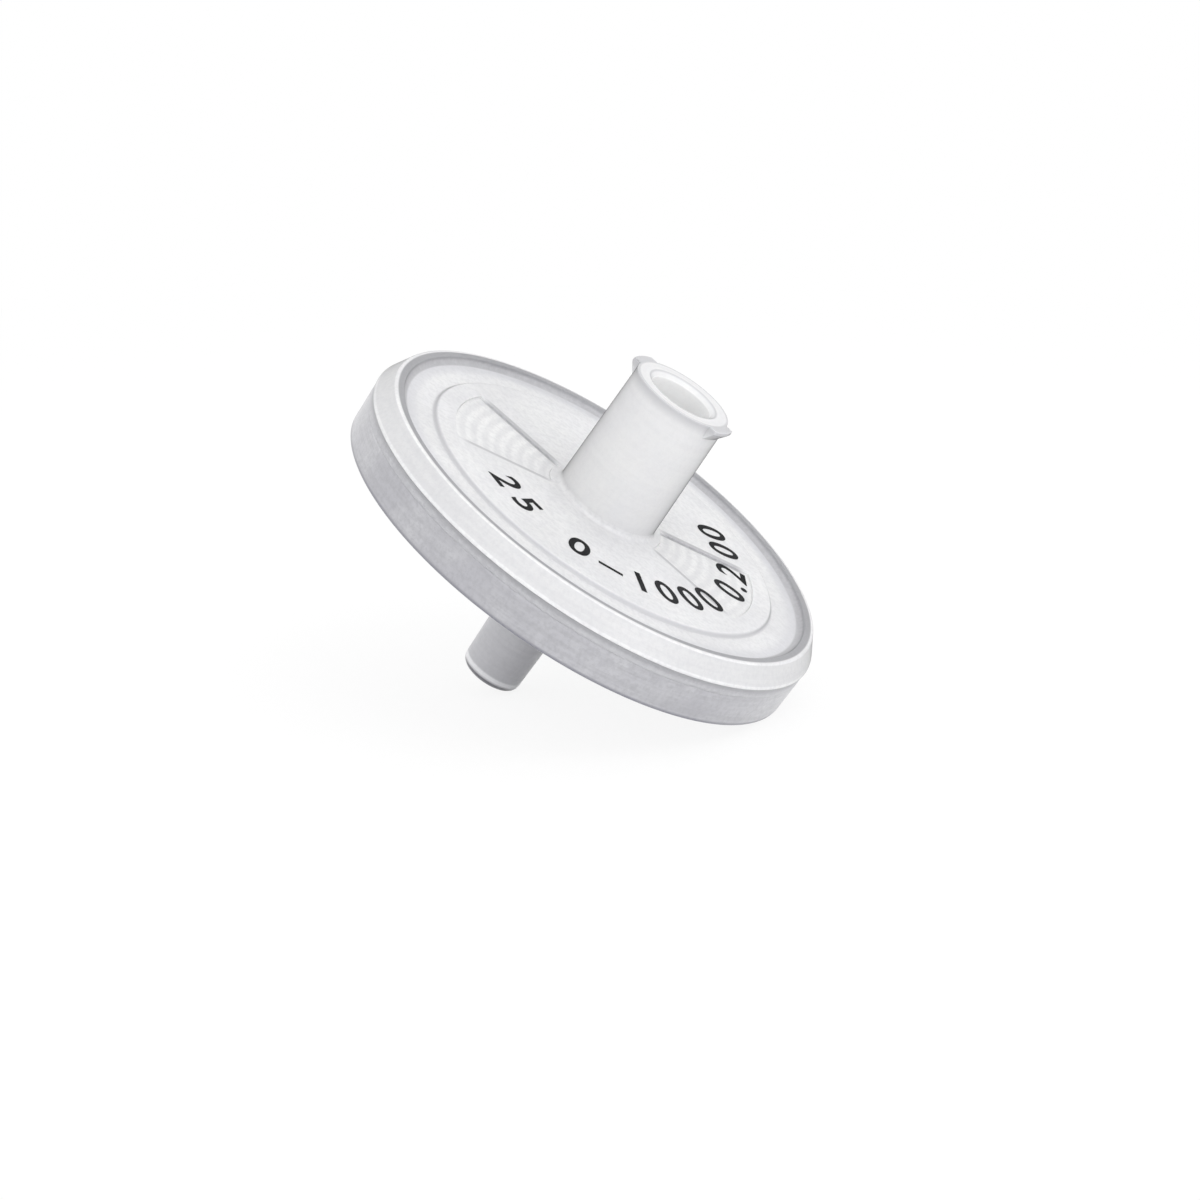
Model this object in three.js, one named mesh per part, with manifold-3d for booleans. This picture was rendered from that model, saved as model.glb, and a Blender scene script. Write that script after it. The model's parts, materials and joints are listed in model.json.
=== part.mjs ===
import * as THREE from "three";
import { mergeVertices } from "three/addons/utils/BufferGeometryUtils.js";
import Module from "manifold-3d";

// A syringe filter: two moulded polypropylene shells welded round a membrane disc. It lies at rest
// on the foot of its rim and on its outlet tip. Lengths are in millimetres and angles in degrees.
// Each sub-part is made about its own axis, inlet up, with height 0 at the weld seam. The housing is
// sized from the membrane outwards.

const wasm = await Module();
wasm.setup();

// Membrane and the chamber round it
const chamberRadius = 12.5; // free radius of the membrane
const membraneLap = 0.8; // clamped edge of the membrane, outside the chamber
const membraneThickness = 0.2;
const membraneClearance = 0.2;
const inletChamberHeight = 0.76; // roof of the chamber above the seam
const collectorDepth = 0.85; // floor of the chamber below the seam

// Weld between the shells, a tongue of the inlet shell in a groove of the outlet shell
const weldGap = 0.2; // left between the two shells wherever they face each other
const tongueOffset = 0.9; // from the edge of the membrane
const tongueWidth = 0.8;
const tongueReach = 1;

// Housing
const wall = 1.2; // roof of the inlet shell and floor of the outlet shell
const skirtWall = 1.18; // outside the weld groove
const footStep = 0.3; // of the rim's foot below the floor of the outlet shell
const footDraft = 0.08; // the skirt narrows by this towards its foot
const rimAboveFace = 0.14;
const rimTopWidth = 0.66;
const rimSlopeWidth = 0.5; // from the rim's top down to the moat inside it
const bevelWidth = 0.72;
const bevelHeight = 1.34;
const faceRise = 0.28; // of the round face, above the moat round it
const mouldDraft = 0.15; // sideways run of each short moulded step

// Inlet, a female luer socket with two lock ears
const luerTaper = 0.03; // fall in radius for each millimetre of depth, the 6 % luer cone
const socketRadius = 2.15; // at the mouth
const socketDepth = 8;
const socketWeb = 2.24; // between the socket's floor and the chamber
const mouthChamfer = 0.3;
const inletHoleRadius = 1;
const hubWall = 1.21; // at the mouth
const hubDraft = 0.14;
const hubFillet = 0.3;
const earReach = 0.54; // of each ear beyond the hub
const earWidth = 2.1;
const earTipHeight = 0.25;
const earHeight = 0.95;
const earTurn = -27.5; // of the ears from the windows in the face, about the axis

// Outlet, a male luer tip
const tipReach = 9.7; // below the foot of the rim
const tipRadius = 2;
const tipRound = 0.35;
const tipFillet = 0.8;
const outletHoleRadius = 1.05;
const funnelWidth = 0.85;

// Ribs that hold the membrane off both walls of the chamber
const ribWidth = 0.4;
const ribPitch = 0.85;
const inletRibRelief = 0.16; // the ribs of the inlet shell stop this far above its clamping face
const channelCount = 8;
const channelWidth = 0.8;

// Two sunk windows in the face, one on each side of the hub
const windowGap = 0.3; // from the hub's fillet
const windowMargin = 1.3; // from the edge of the face
const windowHalfAngle = 23;
const windowDepth = 0.18;

// How the filter lies
const restTurn = 7.5; // of the windows from the way the filter leans, about its own axis

const roundSegments = 72;
const ribSegments = 24;
const filletSteps = 4;
const blend = 0.1; // how far a joined solid reaches into its neighbour

const polypropylene = { color: 0xe6e7ea, roughness: 0.35, metalness: 0 };
const nylon = { color: 0xf6f5f0, roughness: 0.85, metalness: 0 };

const seatHeight = membraneThickness / 2 + membraneClearance;
const membraneRadius = chamberRadius + membraneLap;
const tongueInner = membraneRadius + tongueOffset;
const tongueOuter = tongueInner + tongueWidth;
const housingRadius = tongueOuter + weldGap + skirtWall;
const faceHeight = inletChamberHeight + wall;
const moatHeight = faceHeight - faceRise;
const rimTopHeight = faceHeight + rimAboveFace;
const rimTopOuter = housingRadius - bevelWidth;
const rimTopInner = rimTopOuter - rimTopWidth;
const underside = -collectorDepth - wall;
const foot = underside - footStep;
const footRadius = housingRadius - footDraft;
const hubRadius = socketRadius + hubWall;
const hubFootRadius = hubRadius + hubDraft;
const socketFloor = inletChamberHeight + socketWeb;
const mouthHeight = socketFloor + socketDepth;
const tipEndHeight = foot - tipReach;
const funnelRadius = outletHoleRadius + funnelWidth;

function point(radius, height) {
  return new THREE.Vector2(radius, height);
}

function toSolid(geometry) {
  geometry.deleteAttribute("normal");
  geometry.deleteAttribute("uv");
  const merged = mergeVertices(geometry, 1e-5);
  const mesh = new wasm.Mesh({
    numProp: 3,
    vertProperties: merged.attributes.position.array,
    triVerts: new Uint32Array(merged.index.array),
  });
  mesh.merge();
  return new wasm.Manifold(mesh);
}

function toGeometry(solid) {
  const mesh = solid.getMesh();
  const geometry = new THREE.BufferGeometry();
  geometry.setAttribute("position", new THREE.BufferAttribute(mesh.vertProperties, 3));
  geometry.setIndex(new THREE.BufferAttribute(mesh.triVerts, 1));
  geometry.computeVertexNormals();
  return geometry;
}

// Turns an outline of radius and height points, taken counterclockwise, into a solid about Z.
function revolve(outline, segments = roundSegments) {
  const geometry = new THREE.LatheGeometry([...outline, outline[0]], segments);
  geometry.rotateX(Math.PI / 2);
  return toSolid(geometry);
}

// Points of a round corner, between two angles in degrees.
function corner(radius, height, size, from, to) {
  const points = [];
  for (let step = 0; step <= filletSteps; step += 1) {
    const angle = THREE.MathUtils.degToRad(from + ((to - from) * step) / filletSteps);
    points.push(point(radius + size * Math.cos(angle), height + size * Math.sin(angle)));
  }
  return points;
}

// Bar along X from the axis outwards, centred on it in width.
function bar(inner, outer, width, low, high) {
  const geometry = new THREE.BoxGeometry(outer - inner, width, high - low);
  geometry.translate((inner + outer) / 2, 0, (low + high) / 2);
  return toSolid(geometry);
}

// Sector of a flat ring, centred on X, between two heights.
function ringSector(inner, outer, halfAngle, low, high) {
  const half = THREE.MathUtils.degToRad(halfAngle);
  const shape = new THREE.Shape();
  shape.absarc(0, 0, outer, -half, half, false);
  shape.absarc(0, 0, inner, half, -half, true);
  const geometry = new THREE.ExtrudeGeometry(shape, {
    depth: high - low,
    bevelEnabled: false,
    curveSegments: filletSteps * 3,
  });
  geometry.translate(0, 0, low);
  return toSolid(geometry);
}

// Concentric ribs between two heights, cut through by radial flow channels.
function flowRibs(low, high) {
  const rings = [];
  const last = chamberRadius - ribPitch / 2;
  for (let inner = funnelRadius + ribPitch; inner + ribWidth < last; inner += ribPitch) {
    const outer = inner + ribWidth;
    rings.push(
      revolve(
        [point(inner, low), point(outer, low), point(outer, high), point(inner, high)],
        ribSegments,
      ),
    );
  }
  let ribs = wasm.Manifold.union(rings);
  for (let index = 0; index < channelCount; index += 1) {
    const cut = bar(0, chamberRadius, channelWidth, low - blend, high + blend);
    ribs = ribs.subtract(cut.rotate([0, 0, ((index + 0.5) * 360) / channelCount]));
  }
  return ribs;
}

// The two lock ears at the mouth of the socket, level with it on top and sloped below.
function lockEars() {
  const tip = hubRadius + earReach;
  const root = hubRadius - blend;
  const ring = revolve([
    point(root, mouthHeight - earHeight),
    point(tip, mouthHeight - earTipHeight),
    point(tip, mouthHeight),
    point(root, mouthHeight),
  ]);
  const reach = tip + blend;
  const low = mouthHeight - earHeight - blend;
  const across = bar(-reach, reach, earWidth, low, mouthHeight + blend);
  return ring.intersect(across.rotate([0, 0, earTurn]));
}

function faceWindows() {
  const inner = hubFootRadius + hubFillet + windowGap;
  const outer = chamberRadius - windowMargin;
  const floor = faceHeight - windowDepth;
  const one = ringSector(inner, outer, windowHalfAngle, floor, faceHeight + blend);
  return one.add(one.rotate([0, 0, 180]));
}

function inletShell() {
  const lip = weldGap / 2;
  const socketEnd = socketRadius - luerTaper * socketDepth;
  const outline = [
    point(inletHoleRadius, inletChamberHeight),
    point(chamberRadius, inletChamberHeight),
    point(chamberRadius + mouldDraft, seatHeight),
    point(tongueInner, seatHeight),
    point(tongueInner, lip - tongueReach),
    point(tongueOuter, lip - tongueReach),
    point(tongueOuter, lip),
    point(housingRadius, lip),
    point(housingRadius, rimTopHeight - bevelHeight),
    point(rimTopOuter, rimTopHeight),
    point(rimTopInner, rimTopHeight),
    point(rimTopInner - rimSlopeWidth, moatHeight),
    point(chamberRadius + mouldDraft, moatHeight),
    point(chamberRadius, faceHeight),
    ...corner(hubFootRadius + hubFillet, faceHeight + hubFillet, hubFillet, 270, 180),
    point(hubRadius, mouthHeight),
    point(socketRadius + mouthChamfer, mouthHeight),
    point(socketRadius, mouthHeight - mouthChamfer),
    point(socketEnd, socketFloor),
    point(inletHoleRadius, socketFloor),
  ];
  const ribs = flowRibs(seatHeight + inletRibRelief, inletChamberHeight + blend);
  return revolve(outline).add(lockEars()).subtract(faceWindows()).add(ribs);
}

// Outline of the tip's round end, from the end face up to the cone.
function tipEnd() {
  return corner(tipRadius - tipRound, tipEndHeight + tipRound, tipRound, 270, 360);
}

function outletShell() {
  const lip = -weldGap / 2;
  const grooveInner = tongueInner - weldGap;
  const grooveOuter = tongueOuter + weldGap;
  const grooveFloor = lip - tongueReach;
  const rootHeight = underside - tipFillet;
  const rootRadius = tipRadius + luerTaper * (rootHeight - tipEndHeight);
  const outline = [
    point(outletHoleRadius, tipEndHeight),
    ...tipEnd(),
    ...corner(rootRadius + tipFillet, rootHeight, tipFillet, 180, 90),
    point(rimTopInner - footStep / 2, underside),
    point(rimTopInner, foot),
    point(footRadius, foot),
    point(housingRadius, lip),
    point(grooveOuter, lip),
    point(grooveOuter, grooveFloor),
    point(grooveInner, grooveFloor),
    point(grooveInner, -seatHeight),
    point(chamberRadius + mouldDraft, -seatHeight),
    point(chamberRadius, -collectorDepth),
    point(funnelRadius, -collectorDepth),
    point(outletHoleRadius, -collectorDepth - funnelWidth),
  ];
  return revolve(outline).add(flowRibs(-collectorDepth - blend, -seatHeight));
}

function membrane() {
  const geometry = new THREE.CylinderGeometry(
    membraneRadius,
    membraneRadius,
    membraneThickness,
    roundSegments,
  );
  geometry.rotateX(Math.PI / 2);
  return toSolid(geometry);
}

// Lean of the axis from upright when the foot of the rim and the outlet tip both touch the floor.
// Both touch along a side of their polygons, which is a little nearer the axis than a corner.
function restTilt() {
  const side = Math.cos(Math.PI / roundSegments);
  const leans = tipEnd().map((end) =>
    Math.atan2(foot - end.y, (footRadius - end.x) * side),
  );
  return Math.max(...leans);
}

function named(name, solid, finish) {
  const mesh = new THREE.Mesh(toGeometry(solid), new THREE.MeshStandardMaterial(finish));
  mesh.name = name;
  return mesh;
}

const filter = new THREE.Group();
filter.add(named("inlet_housing", inletShell(), polypropylene));
filter.add(named("outlet_housing", outletShell(), polypropylene));
filter.add(named("membrane", membrane(), nylon));
filter.rotation.z = THREE.MathUtils.degToRad(restTurn);

const leaning = new THREE.Group();
leaning.add(filter);
leaning.rotation.y = restTilt();

// Sets the leaning filter on the floor, centred over the origin.
const part = new THREE.Group();
part.add(leaning);
const box = new THREE.Box3().setFromObject(part, true);
const centre = box.getCenter(new THREE.Vector3());
leaning.position.set(-centre.x, -centre.y, -box.min.z);

export default part;
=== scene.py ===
import json
import math

import bmesh
import bpy
from mathutils import Matrix, Vector


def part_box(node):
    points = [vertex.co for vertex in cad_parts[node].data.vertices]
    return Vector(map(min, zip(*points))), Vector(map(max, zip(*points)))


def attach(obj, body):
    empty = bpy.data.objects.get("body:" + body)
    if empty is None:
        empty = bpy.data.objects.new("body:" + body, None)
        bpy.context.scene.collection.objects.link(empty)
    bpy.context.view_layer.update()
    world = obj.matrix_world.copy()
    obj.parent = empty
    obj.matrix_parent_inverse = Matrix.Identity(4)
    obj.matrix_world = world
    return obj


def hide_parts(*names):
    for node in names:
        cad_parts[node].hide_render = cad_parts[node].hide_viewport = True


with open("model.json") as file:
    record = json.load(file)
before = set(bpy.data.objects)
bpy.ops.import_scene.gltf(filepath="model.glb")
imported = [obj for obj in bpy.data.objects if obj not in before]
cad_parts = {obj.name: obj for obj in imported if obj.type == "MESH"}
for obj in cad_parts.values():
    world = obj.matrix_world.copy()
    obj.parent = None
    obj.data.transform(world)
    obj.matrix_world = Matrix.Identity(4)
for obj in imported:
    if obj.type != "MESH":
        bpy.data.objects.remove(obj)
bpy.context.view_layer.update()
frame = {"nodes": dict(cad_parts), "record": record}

# The pieces are modelled upright in millimetres, the inlet up and the weld seam at height 0,
# and are then laid down as the frame holds them.
millimetre = 0.001
turnSteps = 192  # sides of a full turn
restTurn = math.radians(7.5)  # of the windows from the way the filter leans
mounts = {mount["name"]: mount for mount in frame["record"]["mounts"]}
inletAxis = Vector(mounts["inlet_luer_mouth"]["axis"])
membraneLow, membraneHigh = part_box("membrane")
seamCentre = (membraneLow + membraneHigh) / 2
lean = math.atan2(inletAxis.x, inletAxis.z)
lying = Matrix.Rotation(lean, 4, "Y") @ Matrix.Rotation(restTurn, 4, "Z")

# Sizes that both shells share
housing = {
    "radius": 16.38,
    "footRadius": 16.3,
    "footHeight": -2.35,
    "underside": -2.05,
    "chamberRadius": 12.5,
    "chamberEdge": 12.65,  # foot of the chamber's drafted side
    "clampHeight": 0.3,  # of each shell's clamping face, from the seam
    "roof": 0.76,
    "floor": -0.85,
    "tongueInner": 14.2,
    "tongueOuter": 15.0,
    "tongueFoot": -0.9,
    "grooveGap": 0.2,
    "seamGap": 0.003,  # the weld line as it shows outside
    "seamRound": 0.003,
    "cornerRound": 0.1,
    "edgeRound": 0.05,
}

# Ribs that hold the membrane off the walls of the chamber, and the channels across them
ribs = {
    "first": 2.75,
    "pitch": 0.85,
    "width": 0.4,
    "count": 11,
    "channels": 8,
    "channelWidth": 0.8,
    "inletFoot": 0.46,
    "outletTop": -0.3,
}
closeBy = 1e-3  # how near to a level a face's middle has to be


# Modelling by hand, in code

def clearSelection():
    bpy.ops.object.select_all(action="DESELECT")


def pick(piece, kind, wanted):
    # selects only the vertices, edges or faces that pass the test
    bpy.ops.mesh.select_mode(type=kind)
    bpy.ops.mesh.select_all(action="DESELECT")
    mesh = bmesh.from_edit_mesh(piece.data)
    elements = {"VERT": mesh.verts, "EDGE": mesh.edges, "FACE": mesh.faces}[kind]
    for element in elements:
        if wanted(element):
            element.select_set(True)
    mesh.select_flush_mode()
    bmesh.update_edit_mesh(piece.data)


def drawOutline(name, corners):
    # a plane merged to one vertex is the pen, and each corner is (radius, height, rounding)
    clearSelection()
    bpy.ops.mesh.primitive_plane_add(size=1)
    piece = bpy.context.object
    piece.name = name
    bpy.ops.object.mode_set(mode="EDIT")
    bpy.ops.mesh.select_mode(type="VERT")
    bpy.ops.mesh.select_all(action="SELECT")
    bpy.ops.mesh.merge(type="CENTER")
    bpy.ops.transform.translate(value=(corners[0][0], 0, corners[0][1]))
    for here, there in zip(corners, corners[1:]):
        step = (there[0] - here[0], 0, there[1] - here[1])
        bpy.ops.mesh.extrude_vertices_move(TRANSFORM_OT_translate={"value": step})
    bpy.ops.mesh.select_all(action="SELECT")
    bpy.ops.mesh.edge_face_add()
    return piece


def roundCorners(piece, corners, steps=5):
    for size in sorted({rounding for _, _, rounding in corners if rounding}):
        spots = [Vector((radius, 0, height)) for radius, height, rounding in corners if rounding == size]
        pick(piece, "VERT", lambda vert: any((vert.co - spot).length < 1e-4 for spot in spots))
        bpy.ops.mesh.bevel(offset=size, segments=steps, affect="VERTICES")


def spinOutline(piece):
    bpy.ops.mesh.select_all(action="SELECT")
    bpy.ops.mesh.delete(type="ONLY_FACE")
    bpy.ops.mesh.select_all(action="SELECT")
    bpy.ops.mesh.spin(
        steps=turnSteps, angle=2 * math.pi, center=(0, 0, 0), axis=(0, 0, 1), use_auto_merge=True
    )
    bpy.ops.mesh.select_all(action="SELECT")
    bpy.ops.mesh.remove_doubles(threshold=1e-5)
    bpy.ops.mesh.normals_make_consistent(inside=False)


def layDown(piece):
    # from upright millimetres to metres in the frame, with the place kept in the mesh
    piece.matrix_world = Matrix.Translation(seamCentre) @ lying @ Matrix.Scale(millimetre, 4)
    clearSelection()
    piece.select_set(True)
    bpy.context.view_layer.objects.active = piece
    bpy.ops.object.transform_apply(location=True, rotation=True, scale=True)


def smoothShade(piece, sharpest=38):
    bpy.ops.object.mode_set(mode="OBJECT")
    bpy.ops.object.shade_smooth_by_angle(angle=math.radians(sharpest))
    piece.modifiers.new("flat faces stay flat", "WEIGHTED_NORMAL").keep_sharp = True
    bpy.ops.object.modifier_apply(modifier="flat faces stay flat")


def ribEdges():
    starts = [ribs["first"] + ribs["pitch"] * index for index in range(ribs["count"])]
    return [(start, start + ribs["width"]) for start in starts]


def onLevel(face, height, inner, outer):
    middle = face.calc_center_median()
    return abs(middle.z - height) < closeBy and inner < middle.xy.length < outer


def raiseRibs(piece, wall, crest):
    # the wall's rib strips are cut at the channels' sides, and what lies between is pulled out
    reach = housing["chamberRadius"]
    half = ribs["channelWidth"] / 2
    acrosses = []
    for index in range(ribs["channels"] // 2):
        angle = math.pi * (2 * index + 1) / ribs["channels"]
        acrosses.append(Vector((-math.sin(angle), math.cos(angle), 0)))
    for across in acrosses:
        for side in (-half, half):
            pick(piece, "FACE", lambda face: onLevel(face, wall, ribs["first"], reach))
            bpy.ops.mesh.bisect(plane_co=across * side, plane_no=across)

    def isRib(face):
        middle = face.calc_center_median()
        inRib = any(onLevel(face, wall, inner, outer) for inner, outer in ribEdges())
        return inRib and all(abs(middle.dot(across)) > half for across in acrosses)

    pick(piece, "FACE", isRib)
    bpy.ops.mesh.extrude_region_move(TRANSFORM_OT_translate={"value": (0, 0, crest - wall)})


# The inlet shell: rim, face and luer socket, moulded as one piece
inlet = {
    "ridgeHeight": 0.76,
    "ridgeReach": 0.05,  # of the fine bead at the foot of the bevel
    "ridgeWidth": 0.14,
    "ridgeShoulder": 0.6,  # share of its width that lies above its slope
    "ridgeRound": 0.03,
    "rimTopHeight": 2.1,
    "rimTopOuter": 15.66,
    "rimTopInner": 15.0,
    "rimRound": 0.1,
    "coveInner": 14.5,
    "moatHeight": 1.68,
    "faceHeight": 1.96,
    "faceRound": 0.12,
    "hubFootRadius": 3.5,
    "hubFillet": 0.3,
    "mouthRadius": 3.36,
    "mouthHeight": 11.0,
    "mouthRound": 0.04,
    "socketRadius": 2.15,
    "socketEnd": 1.91,
    "socketFloor": 3.0,
    "socketRound": 0.2,
    "mouthChamfer": 0.3,
    "holeRadius": 1.0,
    "earHeight": 0.95,
    "earTip": 0.25,
    "earReach": 0.54,
    "earWidth": 2.1,
    "earTurn": -27.5,  # degrees from the windows
    "windowInner": 4.1,
    "windowOuter": 11.2,
    "windowHalfAngle": 22.5,
    "windowDepth": 0.13,
    "windowWall": 0.1,
    "windowSteps": ((0.35, 0.12), (0.3, 0.76), (0.35, 0.12)),  # shares of the wall and the depth
}


def cove(steps=8):
    # hollow slope from the moat up to the rim's top
    width = inlet["rimTopInner"] - inlet["coveInner"]
    depth = inlet["rimTopHeight"] - inlet["moatHeight"]
    points = []
    for step in range(steps - 1, -1, -1):
        angle = math.pi / 2 * step / steps
        radius = inlet["coveInner"] + width * math.sin(angle)
        points.append((radius, inlet["moatHeight"] + depth * (1 - math.cos(angle)), 0))
    return points


def inletOutline():
    seam = housing["seamGap"] / 2
    corner, edge = housing["cornerRound"], housing["edgeRound"]
    ridge, ridgeRound = housing["radius"] + inlet["ridgeReach"], inlet["ridgeRound"]
    ridgeFoot = inlet["ridgeHeight"] - inlet["ridgeWidth"]
    shoulder = inlet["ridgeHeight"] - inlet["ridgeWidth"] * inlet["ridgeShoulder"]
    mouthStrip = inlet["mouthHeight"] - inlet["earHeight"]
    hubHeight = inlet["mouthHeight"] - inlet["faceHeight"]
    hubDraft = (inlet["hubFootRadius"] - inlet["mouthRadius"]) / hubHeight
    stripRadius = inlet["mouthRadius"] + hubDraft * inlet["earHeight"]
    roof = [(radius, housing["roof"], 0) for edges in ribEdges() for radius in edges]
    return [
        (inlet["holeRadius"], housing["roof"], corner),
        *roof,
        (housing["chamberRadius"], housing["roof"], corner),
        (housing["chamberEdge"], housing["clampHeight"], edge),
        (housing["tongueInner"], housing["clampHeight"], edge),
        (housing["tongueInner"], housing["tongueFoot"], corner),
        (housing["tongueOuter"], housing["tongueFoot"], corner),
        (housing["tongueOuter"], seam, 0),
        (housing["radius"], seam, housing["seamRound"]),
        (housing["radius"], ridgeFoot, ridgeRound),
        (ridge, shoulder, ridgeRound),
        (ridge, inlet["ridgeHeight"], edge),
        (inlet["rimTopOuter"], inlet["rimTopHeight"], inlet["rimRound"]),
        (inlet["rimTopInner"], inlet["rimTopHeight"], inlet["rimRound"]),
        *cove(),
        (housing["chamberEdge"], inlet["moatHeight"], inlet["faceRound"]),
        (housing["chamberRadius"], inlet["faceHeight"], inlet["faceRound"]),
        (inlet["windowOuter"], inlet["faceHeight"], 0),
        (inlet["windowInner"], inlet["faceHeight"], 0),
        (inlet["hubFootRadius"], inlet["faceHeight"], inlet["hubFillet"]),
        (stripRadius, mouthStrip, 0),
        (inlet["mouthRadius"], inlet["mouthHeight"], 0),
        (inlet["socketRadius"] + inlet["mouthChamfer"], inlet["mouthHeight"], edge),
        (inlet["socketRadius"], inlet["mouthHeight"] - inlet["mouthChamfer"], edge),
        (inlet["socketEnd"], inlet["socketFloor"], inlet["socketRound"]),
        (inlet["holeRadius"], inlet["socketFloor"], corner),
    ]


def pullEars(piece):
    # two patches of the hub are pulled out level with the mouth, and their undersides sloped
    top, bottom = inlet["mouthHeight"], inlet["mouthHeight"] - inlet["earHeight"]
    rise = inlet["earHeight"] - inlet["earTip"]
    turned = math.radians(inlet["earTurn"])
    outward = Vector((math.cos(turned), math.sin(turned), 0))
    across = Vector((-math.sin(turned), math.cos(turned), 0))
    half = inlet["earWidth"] / 2
    pastBore = inlet["socketRadius"] + 0.5
    flattest = 0.3  # upward part of the normal of a side face
    nearBottom = bottom + 0.1

    def isStrip(face):
        middle = face.calc_center_median()
        onHub = middle.xy.length > pastBore and abs(face.normal.z) < flattest
        return onHub and bottom < middle.z < top

    for side in (-half, half):
        pick(piece, "FACE", isStrip)
        bpy.ops.mesh.bisect(plane_co=across * side, plane_no=across)
    for side in (-1, 1):
        def isPatch(face):
            middle = face.calc_center_median()
            return isStrip(face) and abs(middle.dot(across)) < half and middle.dot(outward) * side > 0

        pick(piece, "FACE", isPatch)
        reach = outward * side * inlet["earReach"]
        bpy.ops.mesh.extrude_region_move(TRANSFORM_OT_translate={"value": reach})
        mesh = bmesh.from_edit_mesh(piece.data)
        pulled = {vert.index for vert in mesh.verts if vert.select and vert.co.z < nearBottom}
        pick(piece, "VERT", lambda vert: vert.index in pulled)
        bpy.ops.transform.translate(value=(0, 0, rise))


def roundMouth(piece):
    belowEars = inlet["mouthHeight"] - inlet["earHeight"] - 0.05
    pastBore = inlet["socketRadius"] + inlet["mouthChamfer"] + 0.3
    sharp = math.radians(25)

    def isOuterEdge(edge):
        ends = [vert.co for vert in edge.verts]
        outside = all(end.z > belowEars and end.xy.length > pastBore for end in ends)
        return outside and edge.is_manifold and edge.calc_face_angle() > sharp

    pick(piece, "EDGE", isOuterEdge)
    bpy.ops.mesh.bevel(offset=inlet["mouthRound"], segments=3, affect="EDGES")


def sinkWindows(piece):
    level = inlet["faceHeight"]
    inner, outer = inlet["windowInner"], inlet["windowOuter"]
    half = math.radians(inlet["windowHalfAngle"])
    wall, depth = inlet["windowWall"], inlet["windowDepth"]
    for side in (-1, 1):
        def inWindow(face):
            middle = face.calc_center_median()
            within = abs(middle.y) < middle.x * side * math.tan(half)
            return onLevel(face, level, inner, outer) and within

        pick(piece, "FACE", inWindow)
        bpy.ops.mesh.dissolve_faces()
        for widthShare, depthShare in inlet["windowSteps"]:
            bpy.ops.mesh.inset(thickness=wall * widthShare, depth=-depth * depthShare)


def makeInlet():
    corners = inletOutline()
    piece = drawOutline("inlet_shell", corners)
    roundCorners(piece, corners)
    spinOutline(piece)
    pullEars(piece)
    roundMouth(piece)
    sinkWindows(piece)
    raiseRibs(piece, housing["roof"], ribs["inletFoot"])
    smoothShade(piece)
    layDown(piece)
    print("inlet shell modelled")
    return piece


# The outlet shell: floor of the housing, weld groove and luer tip, moulded as one piece
outlet = {
    "footInner": 15.0,
    "footSlope": 0.15,
    "footStepRound": 0.08,
    "footInnerRound": 0.06,
    "tipEnd": -12.1,
    "tipRadius": 2.0,
    "tipRound": 0.6,
    "tipRootRadius": 2.3,
    "tipFillet": 0.8,
    "holeRadius": 1.05,
    "holeRound": 0.08,
    "funnelRadius": 1.9,
    "funnelDepth": 0.85,
    "funnelRound": 0.2,
}


def outletOutline():
    seam = -housing["seamGap"] / 2
    gap = housing["grooveGap"]
    corner, edge = housing["cornerRound"], housing["edgeRound"]
    grooveFoot = housing["tongueFoot"] - gap
    strips = [(radius, housing["floor"], 0) for edges in ribEdges() for radius in edges]
    return [
        (outlet["holeRadius"], outlet["tipEnd"], outlet["holeRound"]),
        (outlet["tipRadius"], outlet["tipEnd"], outlet["tipRound"]),
        (outlet["tipRootRadius"], housing["underside"], outlet["tipFillet"]),
        (outlet["footInner"] - outlet["footSlope"], housing["underside"], outlet["footStepRound"]),
        (outlet["footInner"], housing["footHeight"], outlet["footInnerRound"]),
        (housing["footRadius"], housing["footHeight"], corner),
        (housing["radius"], seam, housing["seamRound"]),
        (housing["tongueOuter"] + gap, seam, 0),
        (housing["tongueOuter"] + gap, grooveFoot, corner),
        (housing["tongueInner"] - gap, grooveFoot, corner),
        (housing["tongueInner"] - gap, -housing["clampHeight"], edge),
        (housing["chamberEdge"], -housing["clampHeight"], edge),
        (housing["chamberRadius"], housing["floor"], corner),
        *reversed(strips),
        (outlet["funnelRadius"], housing["floor"], corner),
        (outlet["holeRadius"], housing["floor"] - outlet["funnelDepth"], outlet["funnelRound"]),
    ]


def makeOutlet():
    corners = outletOutline()
    piece = drawOutline("outlet_shell", corners)
    roundCorners(piece, corners)
    spinOutline(piece)
    raiseRibs(piece, housing["floor"], ribs["outletTop"])
    smoothShade(piece)
    layDown(piece)
    print("outlet shell modelled")
    return piece


# Plain numbers printed round the face, each glyph stamped on a thin layer of ink
printing = {
    "radius": 9.35,  # middle of the glyphs
    "offCentre": (0.05, 0.55),  # the stamp came down a little off the axis
    "height": 3.2,  # text size, of which a digit takes about three quarters
    "middle": 0.36,  # share of the text size from a glyph's foot to its middle
    "inkThickness": 0.012,
    "inkRise": 0.3,  # share of the thickness from the face to the ink's middle
    "boldness": 0.055,
    "glyphs": (
        ("2", -125.5), ("5", -112),
        ("0", -86), ("–", -72), ("1", -58.5), ("0", -46), ("0", -33), ("0", -20.5),
        ("0", 4), (".", 13), ("2", 22), ("0", 38), ("0", 50),
    ),
}


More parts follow.
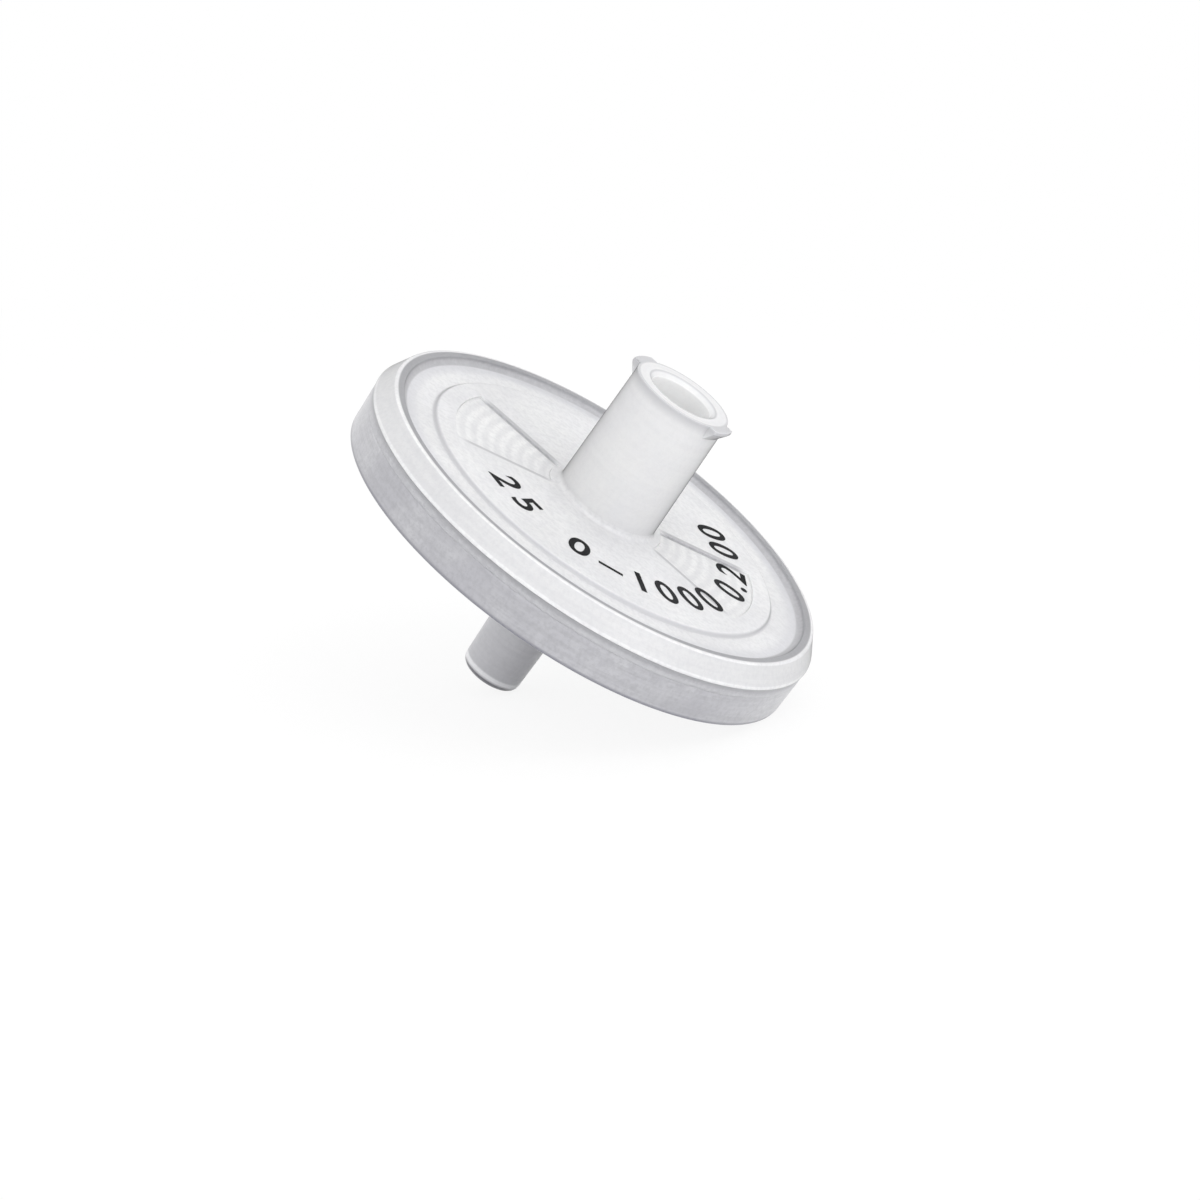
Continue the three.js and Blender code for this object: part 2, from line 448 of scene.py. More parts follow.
def printGlyph(letter, degrees):
    clearSelection()
    bpy.ops.object.text_add()
    glyph = bpy.context.object
    glyph.data.body = letter
    glyph.data.size = printing["height"]
    glyph.data.align_x = "CENTER"
    glyph.data.offset = printing["boldness"]
    glyph.data.extrude = printing["inkThickness"] / 2
    bpy.ops.object.convert(target="MESH")
    angle = math.radians(degrees) - restTurn
    inWindow = abs(math.sin(angle)) < math.sin(math.radians(inlet["windowHalfAngle"]))
    level = inlet["faceHeight"] - (inlet["windowDepth"] if inWindow else 0)
    outward = Vector((math.cos(angle), math.sin(angle), 0))
    along = Vector((-math.sin(angle), math.cos(angle), 0))
    foot = outward * (printing["radius"] + printing["height"] * printing["middle"])
    foot += Matrix.Rotation(-restTurn, 3, "Z") @ Vector((*printing["offCentre"], 0))
    foot.z = level + printing["inkThickness"] * printing["inkRise"]
    turned = Matrix((along, -outward, Vector((0, 0, 1)))).transposed().to_4x4()
    glyph.matrix_world = Matrix.Translation(foot) @ turned
    bpy.ops.object.transform_apply(location=True, rotation=True, scale=True)
    return glyph


def makePrint():
    glyphs = [printGlyph(letter, degrees) for letter, degrees in printing["glyphs"]]
    clearSelection()
    for glyph in glyphs:
        glyph.select_set(True)
    bpy.context.view_layer.objects.active = glyphs[0]
    bpy.ops.object.join()
    piece = bpy.context.object
    piece.name = "printed_numbers"
    bpy.ops.object.mode_set(mode="EDIT")
    bpy.ops.mesh.select_all(action="SELECT")
    bpy.ops.mesh.remove_doubles(threshold=1e-4)
    bpy.ops.mesh.normals_make_consistent(inside=False)
    bpy.ops.object.mode_set(mode="OBJECT")
    layDown(piece)
    print("numbers printed")
    return piece


# Finishes

def addNode(tree, kind, inputs=None, **settings):
    made = tree.nodes.new(kind)
    for name, value in settings.items():
        setattr(made, name, value)
    for name, value in (inputs or {}).items():
        if isinstance(value, bpy.types.NodeSocket):
            tree.links.new(value, made.inputs[name])
        else:
            made.inputs[name].default_value = value
    return made


def startGroup(name, inputs, outputs):
    group = bpy.data.node_groups.new(name, "ShaderNodeTree")
    for label, kind, value in inputs:
        socket = group.interface.new_socket(label, in_out="INPUT", socket_type=kind)
        if value is not None:
            socket.default_value = value
    for label in outputs:
        group.interface.new_socket(label, in_out="OUTPUT", socket_type="NodeSocketFloat")
    return group, addNode(group, "NodeGroupInput"), addNode(group, "NodeGroupOutput")


def calculate(tree, operation, first, second=0.0):
    made = addNode(tree, "ShaderNodeMath", operation=operation)
    for socket, value in zip(made.inputs, (first, second)):
        if isinstance(value, bpy.types.NodeSocket):
            tree.links.new(value, socket)
        else:
            socket.default_value = value
    return made.outputs[0]


def ramp(tree, value, start, end, low=0.0, high=1.0):
    # value's rise from low to high as it goes from start to end
    made = addNode(tree, "ShaderNodeMapRange", {
        "Value": value, "From Min": start, "From Max": end, "To Min": low, "To Max": high,
    }, interpolation_type="SMOOTHSTEP")
    return made.outputs["Result"]


def noise(tree, place, scale, detail, roughness):
    made = addNode(tree, "ShaderNodeTexNoise", {
        "Vector": place, "Scale": scale, "Detail": detail, "Roughness": roughness,
    })
    return made.outputs["Fac"]


def radiusAndHeight(tree, place):
    parts = addNode(tree, "ShaderNodeSeparateXYZ", {"Vector": place})
    across = calculate(tree, "MULTIPLY", parts.outputs["X"], parts.outputs["X"])
    along = calculate(tree, "MULTIPLY", parts.outputs["Y"], parts.outputs["Y"])
    radius = calculate(tree, "SQRT", calculate(tree, "ADD", across, along))
    return radius, parts.outputs["Z"]


# Each noise of the moulded grain has its detail and roughness, and the two drawn-out ones the
# scale along each axis
grainLook = {
    "grain": (4.0, 0.7),
    "clouds": (3.0, 0.55),
    "streaks": (3.0, 0.55),
    "streakScale": (0.8, 0.8, 0.07),
    "flow": (3.0, 0.6),
    "flowScale": (0.16, 0.16, 3.2),
    "softFrom": 0.35,  # of the clouds and streaks
    "softTo": 0.65,
    "roughFrom": 0.2,  # of the fine grain, where it varies the roughness
    "roughTo": 0.8,
}


def roughnessFrom(tree, grain, low, high):
    return ramp(tree, grain, grainLook["roughFrom"], grainLook["roughTo"], low, high)


def makeGrainGroup():
    # fine spark-eroded texture of a mould, soft clouds in the plastic, streaks along the axis,
    # and faint flow lines that run round the sides
    group, given, result = startGroup(
        "moulded grain",
        [
            ("Place", "NodeSocketVector", None),
            ("Fineness", "NodeSocketFloat", 5.0),
            ("Cloud Scale", "NodeSocketFloat", 0.22),
        ],
        ["Grain", "Clouds", "Streaks", "Flow"],
    )
    place = given.outputs["Place"]

    def stretched(scale):
        mapping = addNode(group, "ShaderNodeMapping", {
            "Vector": place, "Scale": scale,
        }, vector_type="POINT")
        return mapping.outputs["Vector"]

    def soften(value):
        return ramp(group, value, grainLook["softFrom"], grainLook["softTo"])

    grain = noise(group, place, given.outputs["Fineness"], *grainLook["grain"])
    clouds = noise(group, place, given.outputs["Cloud Scale"], *grainLook["clouds"])
    streaks = noise(group, stretched(grainLook["streakScale"]), 1.0, *grainLook["streaks"])
    flow = noise(group, stretched(grainLook["flowScale"]), 1.0, *grainLook["flow"])
    group.links.new(grain, result.inputs["Grain"])
    group.links.new(soften(clouds), result.inputs["Clouds"])
    group.links.new(soften(streaks), result.inputs["Streaks"])
    group.links.new(flow, result.inputs["Flow"])
    return group


def makeRingGroup():
    # faint concentric marks about the axis, where ribs stand behind the wall
    group, given, result = startGroup(
        "concentric marks",
        [
            ("Place", "NodeSocketVector", None),
            ("Pitch", "NodeSocketFloat", ribs["pitch"]),
            ("First", "NodeSocketFloat", ribs["first"]),
            ("Outer", "NodeSocketFloat", housing["chamberRadius"]),
        ],
        ["Marks"],
    )
    radius, _ = radiusAndHeight(group, given.outputs["Place"])
    fromFirst = calculate(group, "SUBTRACT", radius, given.outputs["First"])
    turns = calculate(group, "DIVIDE", fromFirst, given.outputs["Pitch"])
    wave = calculate(group, "SINE", calculate(group, "MULTIPLY", turns, 2 * math.pi))
    pastFirst = calculate(group, "GREATER_THAN", radius, given.outputs["First"])
    withinOuter = calculate(group, "LESS_THAN", radius, given.outputs["Outer"])
    marked = calculate(group, "MULTIPLY", pastFirst, withinOuter)
    marks = calculate(group, "MULTIPLY", ramp(group, wave, -1.0, 1.0), marked)
    group.links.new(marks, result.inputs["Marks"])
    return group


# How far each zone of painted shade and light, and of the thin window beds, reaches past the size that it
# follows, and how softly it ends
zoneReach = {
    "creaseInside": -0.1, "creaseOutside": 0.05, "creaseBlur": 0.08,
    "brinkInside": 0.04, "brinkOutside": 0.46, "brinkBlur": 0.06,
    "moatInside": 0.6, "moatBlur": 0.4,
    "stepInside": 0.02, "stepOutside": 0.06, "stepBlur": 0.08,
    "topFoot": 0.1,  # below the moat
    "skirtInside": 0.6, "skirtBlur": 0.04,
    "beadShadowFrom": 0.5, "beadShadowTo": 0.05,  # below the bead
    "bevelInside": 0.04, "bevelFrom": 0.08, "bevelTo": 0.16,
    "outlineBeside": 0.32, "outlineWithin": 0.22, "outlineBlur": 0.1,
    "outlineInner": 0.3, "outlineOuter": 0.6, "outlineFade": 0.5,
    "faceBelow": 0.1, "faceAbove": 0.1, "faceBlur": 0.05,
    "smoothFrom": 0.1, "smoothTo": 0.8,
    "boreBlur": 0.06, "boreFoot": 0.2,
    "wallInside": 0.02, "wallFoot": 0.4, "wallTop": 0.1, "wallBlur": 0.1,
    "mouthEdgeFrom": 0.24, "mouthEdgeTo": 0.08, "boreEdge": 0.06,
    "footFrom": 0.3, "footTo": 0.1,
    "tipOutside": 1.2, "tipWithin": 0.1,
    "stemFrom": 4.0, "stemTo": 6.5,  # below the underside
    "holeOutside": 0.2, "noseFrom": 0.5, "noseTo": 0.8, "noseBlur": 0.08,
    "endFrom": 0.46, "endTo": 0.34,
    "veilFrom": -0.1, "veilTo": -0.3,  # heights, below the weld seam
}


def makeZoneGroup():
    # painted shade and light: the hollow inside the rim, the step down from the face, the window edges, the
    # skirt, the line under the bead, the bevel, the mouth's edges, the foot of the outlet's side and the
    # tip's end are darkened as if shaded, and the socket's bore and the tip are lightened as if lit, with a
    # painted highlight on the tip's rounded end; in the bed of each window the shell is thin and looks
    # paler
    reach = zoneReach
    group, given, result = startGroup(
        "painted shade and thin walls", [("Place", "NodeSocketVector", None)],
        [
            "Bevel", "Crease", "Brink", "Step", "Skirt", "BeadShadow", "Bed", "Outline", "Smooth",
            "Moat", "Wall", "Bore", "Lip", "Foot", "Stem", "Nose", "End", "Veil",
        ],
    )
    radius, height = radiusAndHeight(group, given.outputs["Place"])

    def between(value, low, high, blur):
        rising = ramp(group, value, low - blur, low + blur)
        return calculate(group, "MULTIPLY", rising, ramp(group, value, high + blur, high - blur))

    def put(name, *masks):
        product = masks[0]
        for mask in masks[1:]:
            product = calculate(group, "MULTIPLY", product, mask)
        group.links.new(product, result.inputs[name])

    # the hollow inside the rim, its inner edge and the step down from the face, darkened as painted shade
    top = calculate(group, "GREATER_THAN", height, inlet["moatHeight"] - reach["topFoot"])
    creaseInner = inlet["coveInner"] - reach["creaseInside"]
    creaseOuter = inlet["rimTopInner"] + reach["creaseOutside"]
    put("Crease", between(radius, creaseInner, creaseOuter, reach["creaseBlur"]), top)
    brinkInner = inlet["rimTopInner"] - reach["brinkInside"]
    brinkOuter = inlet["rimTopInner"] + reach["brinkOutside"]
    put("Brink", between(radius, brinkInner, brinkOuter, reach["brinkBlur"]), top)
    moatInner = inlet["coveInner"] - reach["moatInside"]
    put("Moat", between(radius, moatInner, inlet["rimTopInner"], reach["moatBlur"]), top)
    stepInner = housing["chamberRadius"] - reach["stepInside"]
    stepOuter = housing["chamberEdge"] + reach["stepOutside"]
    put("Step", between(radius, stepInner, stepOuter, reach["stepBlur"]), top)

    # the skirt below the bead darkened as painted shade, a darker painted shadow just under the bead, and
    # the bevel above it painted a little darker as if it faced away from the light
    outside = calculate(group, "GREATER_THAN", radius, housing["tongueOuter"] + reach["skirtInside"])
    ridgeFoot = inlet["ridgeHeight"] - inlet["ridgeWidth"]
    below = ramp(group, height, ridgeFoot + reach["skirtBlur"], ridgeFoot)
    put("Skirt", outside, below)
    beadShadow = ramp(group, height, ridgeFoot - reach["beadShadowFrom"], ridgeFoot - reach["beadShadowTo"])
    put("BeadShadow", outside, below, beadShadow)
    beyond = calculate(group, "GREATER_THAN", radius, inlet["rimTopOuter"] + reach["bevelInside"])
    bevelFrom, bevelTo = (inlet["ridgeHeight"] + reach[name] for name in ("bevelFrom", "bevelTo"))
    put("Bevel", beyond, ramp(group, height, bevelFrom, bevelTo))

    # distance into a window from its nearest edge
    half = math.radians(inlet["windowHalfAngle"])
    parts = addNode(group, "ShaderNodeSeparateXYZ", {"Vector": given.outputs["Place"]})
    along = calculate(group, "MULTIPLY", calculate(group, "ABSOLUTE", parts.outputs["X"]), math.sin(half))
    aside = calculate(group, "MULTIPLY", calculate(group, "ABSOLUTE", parts.outputs["Y"]), math.cos(half))
    inward = calculate(group, "SUBTRACT", along, aside)
    beside = between(inward, -reach["outlineBeside"], reach["outlineWithin"], reach["outlineBlur"])
    outlineInner = inlet["windowInner"] + reach["outlineInner"]
    outlineOuter = inlet["windowOuter"] - reach["outlineOuter"]
    alongside = between(radius, outlineInner, outlineOuter, reach["outlineFade"])
    fromInner = calculate(group, "SUBTRACT", radius, inlet["windowInner"])
    fromOuter = calculate(group, "SUBTRACT", inlet["windowOuter"], radius)
    inward = calculate(group, "MINIMUM", calculate(group, "MINIMUM", inward, fromInner), fromOuter)
    faceLow = inlet["faceHeight"] - inlet["windowDepth"] - reach["faceBelow"]
    onFace = between(height, faceLow, inlet["faceHeight"] + reach["faceAbove"], reach["faceBlur"])
    put("Bed", ramp(group, inward, 0.0, inlet["windowWall"]), onFace)
    # painted shade: a dark line round each window's edge, where its step down would be shaded
    put("Outline", beside, alongside, onFace)
    smoothFrom, smoothTo = (inlet["faceHeight"] + reach[name] for name in ("smoothFrom", "smoothTo"))
    put("Smooth", ramp(group, height, smoothFrom, smoothTo))

    # the socket: its bore, lightened as painted light, its side, and the edges of its mouth with the ends
    # of the ears, darkened as painted shade
    inBore = ramp(group, radius, inlet["socketRadius"] + reach["boreBlur"], inlet["socketRadius"])
    put("Bore", inBore, ramp(group, height, inlet["socketFloor"] - reach["boreFoot"], inlet["socketFloor"]))
    onSide = calculate(group, "GREATER_THAN", radius, inlet["mouthRadius"] - reach["wallInside"])
    wallFoot = inlet["faceHeight"] + reach["wallFoot"]
    wallTop = inlet["mouthHeight"] - reach["wallTop"]
    put("Wall", onSide, between(height, wallFoot, wallTop, reach["wallBlur"]))
    nearMouth = ramp(group, height, inlet["mouthHeight"] - inlet["earHeight"], inlet["mouthHeight"])
    edgeFrom, edgeTo = (inlet["mouthRadius"] - reach[name] for name in ("mouthEdgeFrom", "mouthEdgeTo"))
    mouthEdge = ramp(group, radius, edgeFrom, edgeTo)
    chamfer, blur = inlet["socketRadius"] + inlet["mouthChamfer"], reach["boreEdge"]
    boreEdge = between(radius, chamfer - blur, chamfer + blur, blur)
    put("Lip", nearMouth, calculate(group, "MAXIMUM", mouthEdge, boreEdge))

    # the outlet shell: the foot of its side darkened as painted shade, the tip lightened as painted light
    # away from the housing, and on the tip's rounded end a painted highlight with painted shade at its very
    # end
    footFrom, footTo = (housing["footHeight"] + reach[name] for name in ("footFrom", "footTo"))
    put("Foot", outside, ramp(group, height, footFrom, footTo))
    tipFrom, tipTo = (outlet["tipRootRadius"] + reach[name] for name in ("tipOutside", "tipWithin"))
    onTip = ramp(group, radius, tipFrom, tipTo)
    stemFrom, stemTo = (housing["underside"] - reach[name] for name in ("stemFrom", "stemTo"))
    put("Stem", onTip, ramp(group, height, stemFrom, stemTo))
    roundHole = calculate(group, "GREATER_THAN", radius, outlet["holeRadius"] + reach["holeOutside"])
    noseFrom, noseTo = (outlet["tipEnd"] + reach[name] for name in ("noseFrom", "noseTo"))
    put("Nose", onTip, roundHole, between(height, noseFrom, noseTo, reach["noseBlur"]))
    endFrom, endTo = (outlet["tipEnd"] + reach[name] for name in ("endFrom", "endTo"))
    put("End", onTip, ramp(group, height, endFrom, endTo))

    # where the clear skin is left off: all round the skirt, and the whole outlet shell
    skirt = calculate(group, "MULTIPLY", outside, below)
    veil = ramp(group, height, reach["veilFrom"], reach["veilTo"])
    put("Veil", calculate(group, "MAXIMUM", skirt, veil))
    return group


def startMaterial(name):
    material = bpy.data.materials.new(name)
    material.use_nodes = True
    tree = material.node_tree
    shader = tree.nodes["Principled BSDF"]
    return material, tree, shader


def partPlace(tree):
    # object coordinates turned and scaled to upright millimetres about the part's own axis
    coordinates = addNode(tree, "ShaderNodeTexCoord")
    mapping = addNode(tree, "ShaderNodeMapping", {
        "Vector": coordinates.outputs["Object"],
        "Location": seamCentre,
        "Rotation": lying.to_euler(),
        "Scale": (millimetre, millimetre, millimetre),
    }, vector_type="TEXTURE")
    return mapping.outputs["Vector"]


def useGroup(tree, group, place, **values):
    made = addNode(tree, "ShaderNodeGroup", node_tree=group)
    tree.links.new(place, made.inputs["Place"])
    for name, value in values.items():
        made.inputs[name].default_value = value
    return made.outputs


def blendColor(tree, amount, first, second):
    made = addNode(tree, "ShaderNodeMix", data_type="RGBA")
    tree.links.new(amount, made.inputs["Factor"])
    for socket, value in ((made.inputs["A"], first), (made.inputs["B"], second)):
        if isinstance(value, bpy.types.NodeSocket):
            tree.links.new(value, socket)
        else:
            socket.default_value = (*value, 1)
    return made.outputs["Result"]


# The plastic of both shells, to which each adds colours of its own; the outlet shell's are a darker copy of
# the same plastic, painted shade
plasticLook = {
    "fineness": 3.2,
    "streakShare": 0.5,
    "speckle": 0.4,
    "speckleFrom": 0.4,
    "speckleTo": 0.66,
    "flowShare": 0.8,  # of the speckle's strength
    "flow": 0.8,
    "calm": 0.25,  # share of the speckle and flow that is left on a smooth zone
    "calmZones": ("Smooth", "BeadShadow", "Brink", "Stem"),
    "grainDepth": 0.02,
    "roughness": 0.34,
    "roughnessSpread": 0.07,
    "ior": 1.49,
    "transmission": 0.08,
    "scatter": (1.0, 0.97, 0.97),
    "scatterReach": 0.2,
    "sheenRoughness": 0.4,
    "skin": 0.5,
    "skinTint": (0.9, 0.9, 0.9),
    "skinRoughness": 0.4,
}


def plasticColor(tree, look, grain, marks, zones, calm):
    def weigh(mask, share):
        return calculate(tree, "MULTIPLY", mask, share)

    def speckle(value, strength):
        return ramp(tree, value, look["speckleFrom"], look["speckleTo"], 0.0, strength)

    color = blendColor(tree, grain["Clouds"], look["color"], look["cloudColor"])
    color = blendColor(tree, weigh(grain["Streaks"], look["streakShare"]), color, look["cloudColor"])
    color = blendColor(tree, weigh(marks, look["markStrength"]), color, look["markColor"])
    # the zones' colours are mostly painted shade and painted light, laid where each zone falls
    for zone, zoneColor in look["zones"].items():
        color = blendColor(tree, zones[zone], color, zoneColor)
    arcs = weigh(weigh(zones["Bed"], marks), look["arcStrength"])
    color = blendColor(tree, arcs, color, look["markColor"])
    specks = weigh(speckle(grain["Grain"], look["speckle"]), calm)
    color = blendColor(tree, specks, color, look["speckleColor"])
    flow = weigh(speckle(grain["Flow"], look["speckle"] * look["flowShare"]), calm)
    return blendColor(tree, flow, color, look["speckleColor"])


def mouldedPlastic(name, ownLook):
    look = {**plasticLook, **ownLook}
    material, tree, shader = startMaterial(name)
    place = partPlace(tree)
    grain = useGroup(tree, grainGroup, place, Fineness=look["fineness"])
    marks = useGroup(tree, ringGroup, place)["Marks"]
    zones = useGroup(tree, zoneGroup, place)
    smooth = zones[look["calmZones"][0]]
    for zone in look["calmZones"][1:]:
        smooth = calculate(tree, "MAXIMUM", smooth, zones[zone])
    calm = ramp(tree, smooth, 0.0, 1.0, 1.0, look["calm"])
    color = plasticColor(tree, look, grain, marks, zones, calm)
    tree.links.new(color, shader.inputs["Base Color"])
    glossy, matt = (look["roughness"] + side * look["roughnessSpread"] for side in (-1, 1))
    tree.links.new(roughnessFrom(tree, grain["Grain"], glossy, matt), shader.inputs["Roughness"])
    waves = calculate(tree, "MULTIPLY", grain["Flow"], calculate(tree, "MULTIPLY", calm, look["flow"]))
    bump = addNode(tree, "ShaderNodeBump", {
        "Height": calculate(tree, "ADD", grain["Grain"], waves),
        "Strength": 1.0,
        "Distance": look["grainDepth"] * millimetre,
    })
    tree.links.new(bump.outputs["Normal"], shader.inputs["Normal"])
    shader.inputs["IOR"].default_value = look["ior"]
    shader.inputs["Transmission Weight"].default_value = look["transmission"]
    shader.inputs["Subsurface Weight"].default_value = look["subsurface"]
    shader.inputs["Subsurface Radius"].default_value = look["scatter"]
    shader.inputs["Subsurface Scale"].default_value = look["scatterReach"] * millimetre
    shader.inputs["Sheen Weight"].default_value = look["sheen"]
    shader.inputs["Sheen Roughness"].default_value = look["sheenRoughness"]
    # a clear skin that takes a little light, and so darkens the edges that are seen along it:
    # thick on the socket's side, and none in its bore, round the skirt or on the outlet shell
    skin = ramp(tree, zones["Wall"], 0.0, 1.0, look["skin"], 1.0)
    bare = calculate(tree, "MAXIMUM", zones["Bore"], zones["Veil"])
    skin = calculate(tree, "MULTIPLY", skin, ramp(tree, bare, 0.0, 1.0, 1.0, 0.0))
    tree.links.new(skin, shader.inputs["Coat Weight"])
    shader.inputs["Coat Roughness"].default_value = look["skinRoughness"]
    shader.inputs["Coat IOR"].default_value = 1.0
    shader.inputs["Coat Tint"].default_value = (*look["skinTint"], 1)
    return material


grainGroup = makeGrainGroup()
ringGroup = makeRingGroup()
zoneGroup = makeZoneGroup()

inletPlastic = mouldedPlastic("natural polypropylene", {
    "color": (0.92, 0.92, 0.92),
    "cloudColor": (0.885, 0.885, 0.90),
    "markColor": (0.70, 0.70, 0.72),
    "markStrength": 0.12,
    "arcStrength": 0.42,
    "speckleColor": (0.66, 0.66, 0.68),
    "zones": {
        # painted shade: the bevel a little darker as if it faced away from the light
        "Bevel": (0.77, 0.77, 0.78),
        # painted shade: the hollow inside the rim, its inner edge and the step down from the face, darker
        # as if shaded
        "Moat": (0.78, 0.78, 0.81),
        "Crease": (0.50, 0.498, 0.52),
        "Brink": (0.34, 0.34, 0.36),
        "Step": (0.68, 0.68, 0.70),
        # painted shade: the skirt darker as if in shade, and a darker painted shadow just under the bead
        "Skirt": (0.48, 0.48, 0.505),
        "BeadShadow": (0.38, 0.38, 0.40),
        "Bed": (0.96, 0.96, 0.96),
        # painted shade round the windows' edges
        "Outline": (0.50, 0.50, 0.52),
        # painted shade on the mouth's edges and the ears' ends, and painted light in the bore, paler than
        # the rest as if lit inside
        "Lip": (0.64, 0.64, 0.66),
        "Bore": (0.98, 0.98, 0.98),
    },
    "subsurface": 0.8,
    "sheen": 0.0,
})
# painted shade: the outlet shell is the same plastic as the inlet, coloured darker as if in shade
outletPlasticInShade = mouldedPlastic("natural polypropylene, outlet, painted in shade", {
    "color": (0.56, 0.56, 0.585),
    "cloudColor": (0.46, 0.458, 0.49),
    "markColor": (0.52, 0.52, 0.55),
    "markStrength": 0.1,
    "arcStrength": 0.0,
    "speckleColor": (0.34, 0.34, 0.36),
    "zones": {
        # painted shade at the foot of the side and at the tip's end, painted light down the tip, and a
        # painted highlight on its rounded end
        "Foot": (0.22, 0.22, 0.26),
        "Stem": (0.60, 0.60, 0.625),
        "Nose": (0.95, 0.95, 0.97),
        "End": (0.13, 0.13, 0.15),
    },
    "subsurface": 0.0,
    "sheen": 0.35,
})

membraneLook = {
    "fineness": 12,
    "color": (0.93, 0.93, 0.91),
    "poreColor": (0.88, 0.88, 0.86),
    "poreDepth": 0.01,
    "roughness": 0.9,
}


def makeMembraneFinish():
    look = membraneLook
    material, tree, shader = startMaterial("white nylon membrane")
    grain = useGroup(tree, grainGroup, partPlace(tree), Fineness=look["fineness"])["Grain"]
    color = blendColor(tree, grain, look["color"], look["poreColor"])
    tree.links.new(color, shader.inputs["Base Color"])
    bump = addNode(tree, "ShaderNodeBump", {
        "Height": grain, "Strength": 1.0, "Distance": look["poreDepth"] * millimetre,
    })
    tree.links.new(bump.outputs["Normal"], shader.inputs["Normal"])
    shader.inputs["Roughness"].default_value = look["roughness"]
    return material


inkLook = {
    "fineness": 9,
    "color": (0.008, 0.008, 0.009),
    "wornColor": (0.02, 0.02, 0.022),
    "roughness": (0.6, 0.85),
    "gloss": 0.12,
}


def makeInk():
    look = inkLook
    material, tree, shader = startMaterial("black marking ink")
    grain = useGroup(tree, grainGroup, partPlace(tree), Fineness=look["fineness"])
    color = blendColor(tree, grain["Clouds"], look["color"], look["wornColor"])
    tree.links.new(color, shader.inputs["Base Color"])
    tree.links.new(roughnessFrom(tree, grain["Grain"], *look["roughness"]), shader.inputs["Roughness"])
    shader.inputs["Specular IOR Level"].default_value = look["gloss"]
    return material


def finishPiece(piece, material, node=None):
    piece.data.materials.clear()
    piece.data.materials.append(material)
    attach(piece, "root")
    if node:
        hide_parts(node)


finishPiece(makeInlet(), inletPlastic, "inlet_housing")
finishPiece(makeOutlet(), outletPlasticInShade, "outlet_housing")
finishPiece(makePrint(), makeInk())
membrane = frame["nodes"]["membrane"]
membrane.data.materials.clear()
membrane.data.materials.append(makeMembraneFinish())
print("finishes laid on")

# Studio
studio = {
    "floorSize": 3.0,
    "floorSeen": 0.97,
    "floorBounce": 0.95,
    "haze": 0.88,  # share of plain white in the floor that is seen, next to the part
    "fadeFrom": 0.03,
    "fadeTo": 0.13,
    "ambient": 1.06,
    "keyPower": 0.42,
    "keySize": 0.3,
    "keyPlace": (0.2, -0.18, 0.38),
    "fillPower": 0.5,
    "fillSize": 0.3,
    "fillPlace": (0.5, -0.24, 0.05),
    "azimuth": 14.42,  # of the camera, in degrees
    "elevation": 15.36,
    "distance": 0.3,
    "lens": 142.2,
    "right": 0.000443,  # how far to the right of the view's middle, and above it, the rim's
    "up": 0.00607,  # centre is seen
}


def seenRays(tree):
    # 1 where the camera, a reflection or a refraction looks, 0 where light only bounces
    path = addNode(tree, "ShaderNodeLightPath")
    seen = calculate(tree, "MAXIMUM", path.outputs["Is Camera Ray"], path.outputs["Is Glossy Ray"])
    return calculate(tree, "MAXIMUM", seen, path.outputs["Is Transmission Ray"])


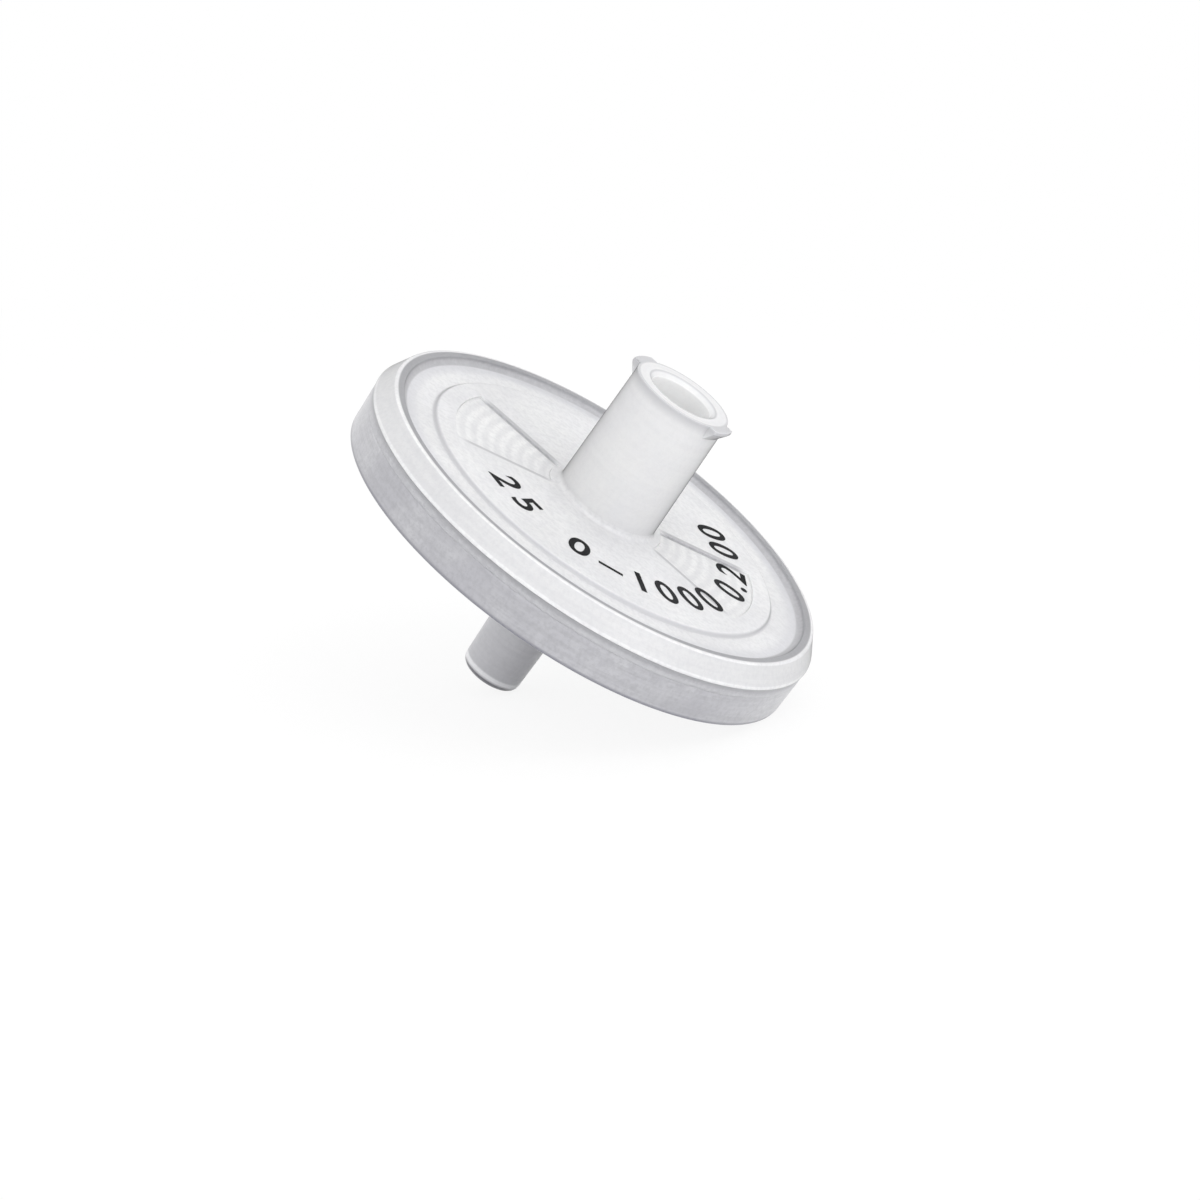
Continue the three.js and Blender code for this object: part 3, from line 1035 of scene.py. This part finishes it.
def makeFloor():
    clearSelection()
    bpy.ops.mesh.primitive_plane_add(size=studio["floorSize"])
    floor = bpy.context.object
    floor.name = "studio_floor"
    material, tree, shader = startMaterial("pale studio floor")
    tree.nodes.remove(shader)
    output = tree.nodes["Material Output"]
    seen = seenRays(tree)
    tone = ramp(tree, seen, 0.0, 1.0, studio["floorBounce"], studio["floorSeen"])
    white = addNode(tree, "ShaderNodeEmission", {"Color": (1, 1, 1, 1), "Strength": 1.0})
    coordinates = addNode(tree, "ShaderNodeTexCoord")
    onFloor = coordinates.outputs["Object"]
    distance = addNode(tree, "ShaderNodeVectorMath", {"Vector": onFloor}, operation="LENGTH")
    fade = ramp(tree, distance.outputs["Value"], studio["fadeFrom"], studio["fadeTo"], studio["haze"], 1.0)
    diffuse = addNode(tree, "ShaderNodeBsdfDiffuse", {"Color": tone})
    share = calculate(tree, "MULTIPLY", fade, seen)
    mixed = addNode(tree, "ShaderNodeMixShader")
    tree.links.new(share, mixed.inputs[0])
    tree.links.new(diffuse.outputs[0], mixed.inputs[1])
    tree.links.new(white.outputs[0], mixed.inputs[2])
    geometry = addNode(tree, "ShaderNodeNewGeometry")
    clear = addNode(tree, "ShaderNodeBsdfTransparent")
    oneSided = addNode(tree, "ShaderNodeMixShader")
    tree.links.new(geometry.outputs["Backfacing"], oneSided.inputs[0])
    tree.links.new(mixed.outputs[0], oneSided.inputs[1])
    tree.links.new(clear.outputs[0], oneSided.inputs[2])
    tree.links.new(oneSided.outputs[0], output.inputs["Surface"])
    floor.data.materials.append(material)


def makeWorld():
    world = bpy.data.worlds.new("white studio")
    bpy.context.scene.world = world
    world.use_nodes = True
    tree = world.node_tree
    background = tree.nodes["Background"]
    tone = ramp(tree, seenRays(tree), 0.0, 1.0, studio["ambient"], 1.0)
    tree.links.new(tone, background.inputs["Color"])
    background.inputs["Strength"].default_value = 1.0


def makeLight(name, place, size, power):
    lamp = bpy.data.lights.new(name, "AREA")
    lamp.size = size
    lamp.energy = power
    light = bpy.data.objects.new(name, lamp)
    bpy.context.collection.objects.link(light)
    light.location = place
    light.rotation_euler = (seamCentre - Vector(place)).to_track_quat("-Z", "Y").to_euler()


def makeCamera():
    azimuth, elevation = math.radians(studio["azimuth"]), math.radians(studio["elevation"])
    level = math.cos(elevation)
    back = Vector((math.sin(azimuth) * level, -math.cos(azimuth) * level, math.sin(elevation)))
    turn = (-back).to_track_quat("-Z", "Y")
    right, up = turn @ Vector((1, 0, 0)), turn @ Vector((0, 1, 0))
    rimCentre = seamCentre + inletAxis * inlet["rimTopHeight"] * millimetre
    camera = bpy.data.objects.new("camera", bpy.data.cameras.new("camera"))
    bpy.context.collection.objects.link(camera)
    camera.location = rimCentre - right * studio["right"] - up * studio["up"] + back * studio["distance"]
    camera.rotation_euler = turn.to_euler()
    camera.data.lens = studio["lens"]
    camera.data.clip_start = 0.01
    bpy.context.scene.camera = camera


makeFloor()
makeWorld()
makeLight("key light", studio["keyPlace"], studio["keySize"], studio["keyPower"])
makeLight("fill light", studio["fillPlace"], studio["fillSize"], studio["fillPower"])
makeCamera()
bpy.context.scene.view_settings.view_transform = "Standard"
print("studio ready")
